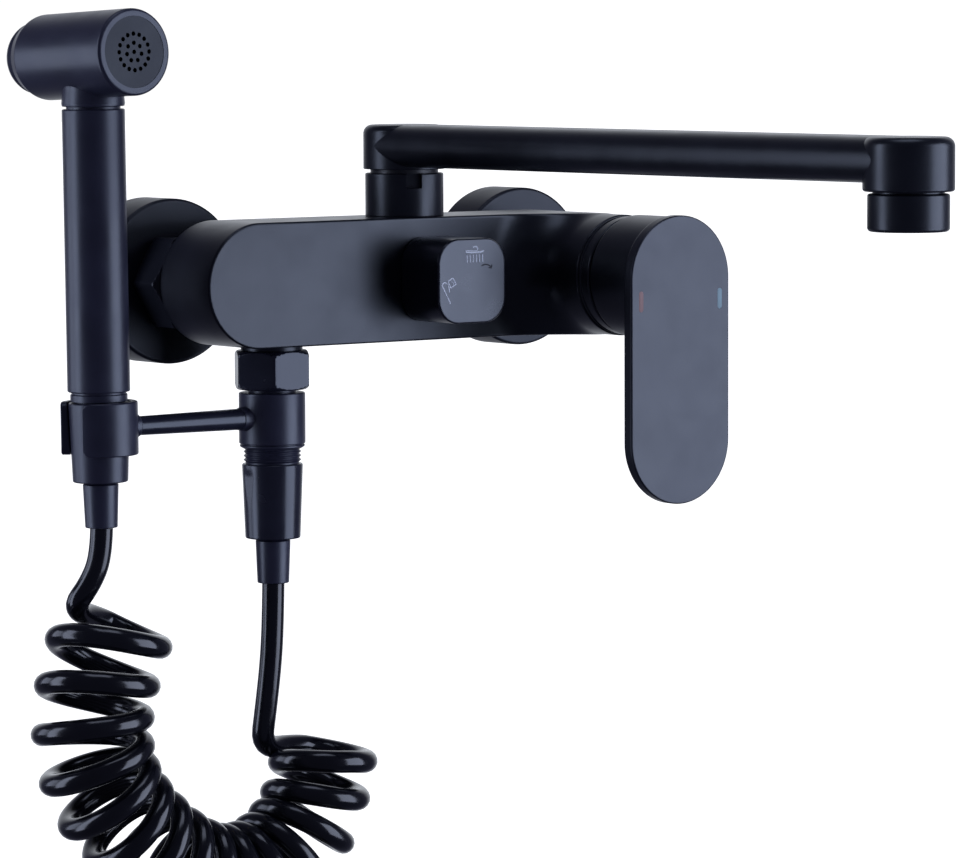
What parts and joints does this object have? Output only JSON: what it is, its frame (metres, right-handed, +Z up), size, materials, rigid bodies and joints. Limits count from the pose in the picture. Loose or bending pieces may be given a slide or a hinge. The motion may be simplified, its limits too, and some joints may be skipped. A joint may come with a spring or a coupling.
{
  "type": "wall mounted bath faucet",
  "caption": "Wall mounted matte black bath faucet with a long swivel spout, lever mixer, diverter knob and a hand sprayer on a curly hose.",
  "frame": {"origin": "on the wall plane, midway between the two wall inlets, at their height", "axes": "+X to the right of a person in front of the faucet, +Y into the wall along the inlets, +Z up"},
  "size_m": [0.2512, 0.3152, 0.3128],
  "materials": {
    "black_coat": "matte powder coat",
    "brass": "machined",
    "seal": "soft",
    "ceramic": "polished ceramic",
    "white_plastic": "moulded",
    "black_plastic": "satin moulded",
    "steel": "plain",
    "hose": "gloss",
    "hot_mark": "printed",
    "cold_mark": "printed",
    "icon_print": "printed"
  },
  "bodies": {
    "faucet": {"faucet_body": "black_coat", "eccentric_union_left": "brass", "eccentric_union_right": "brass", "escutcheon_left": "black_coat", "escutcheon_right": "black_coat", "union_nut_left": "black_coat", "union_nut_right": "black_coat", "inlet_nipple_left": "brass", "inlet_nipple_right": "brass", "inlet_washers": "seal", "cartridge_seals": "seal", "cartridge_base": "white_plastic", "fixed_ceramic_disc": "ceramic", "cartridge_housing": "white_plastic", "cartridge_nut": "brass", "cartridge_cap": "black_coat", "diverter_seat": "ceramic", "diverter_housing": "white_plastic", "diverter_nut": "brass", "spout_nipple": "brass", "spout_orings": "seal", "spout_collar": "black_coat", "spout_washer": "black_plastic", "outlet_nipple": "black_coat", "outlet_washer": "seal", "outlet_nut": "black_coat"},
    "lever_carrier": {"lever_carrier": "white_plastic", "lever_pin": "steel"},
    "moving_disc": {"moving_ceramic_disc": "ceramic"},
    "handle": {"lever_stem": "steel", "handle": "black_coat", "handle_set_screw": "steel", "hot_mark": "hot_mark", "cold_mark": "cold_mark"},
    "diverter": {"diverter_knob": "black_coat", "diverter_stem": "brass", "diverter_rotor": "ceramic", "knob_set_screw": "steel", "knob_icons": "icon_print"},
    "spout": {"spout": "black_coat", "aerator_housing": "black_coat", "aerator_insert": "white_plastic", "aerator_washer": "seal"},
    "holder": {"holder_tee": "black_coat", "holder_arm": "black_coat", "holder_clip": "black_coat", "lower_hose_nut": "black_coat", "lower_hose_washer": "seal", "lower_ferrule": "black_coat", "hose_tail_lower": "hose", "hose_coil": "hose"},
    "sprayer": {"sprayer_handle": "black_coat", "sprayer_head": "black_coat", "spray_plate": "black_plastic", "upper_hose_nut": "black_coat", "upper_hose_washer": "seal", "upper_ferrule": "black_coat", "hose_tail_upper": "hose", "button_spring": "steel"},
    "button": {"spray_button": "black_plastic"}
  },
  "joints": [
    {"name": "lever_turn", "type": "hinge", "parent": "faucet", "child": "lever_carrier", "pos_m": [0.0644, -0.076, 0], "axis": [0, 1, 0], "range_deg": [-40, 40]},
    {"name": "lever_tilt", "type": "hinge", "parent": "lever_carrier", "child": "handle", "pos_m": [0.0644, -0.076, 0], "axis": [-1, 0, 0], "range_deg": [0, 20]},
    {"name": "disc_slide", "type": "slide", "parent": "lever_carrier", "child": "moving_disc", "axis": [0, 0, -1], "range_m": [0, 0.0048]},
    {"name": "diverter_turn", "type": "hinge", "parent": "faucet", "child": "diverter", "pos_m": [0.00265, -0.0615, 0], "axis": [0, 1, 0], "range_deg": [0, 90]},
    {"name": "spout_swivel", "type": "hinge", "parent": "faucet", "child": "spout", "pos_m": [0.001, -0.0464, 0.04], "axis": [0, 0, 1], "range_deg": [-60, 85]},
    {"name": "holder_swivel", "type": "hinge", "parent": "faucet", "child": "holder", "pos_m": [-0.0551, -0.0466, -0.034], "axis": [0, 0, 1], "range_deg": [-10, 20]},
    {"name": "sprayer_lift", "type": "slide", "parent": "holder", "child": "sprayer", "axis": [-0.0117, 0, 0.9999], "range_m": [0, 0.034]},
    {"name": "button_press", "type": "slide", "parent": "sprayer", "child": "button", "axis": [0.0344, -0.9985, 0.0423], "range_m": [0, 0.0035], "stiffness_N_per_m": 900, "springref_m": -0.003, "deforming": ["button_spring"]}
  ],
  "couplings": [
    {"joint": "disc_slide", "follows": "lever_tilt", "m_per_rad": 0.0134}
  ]
}
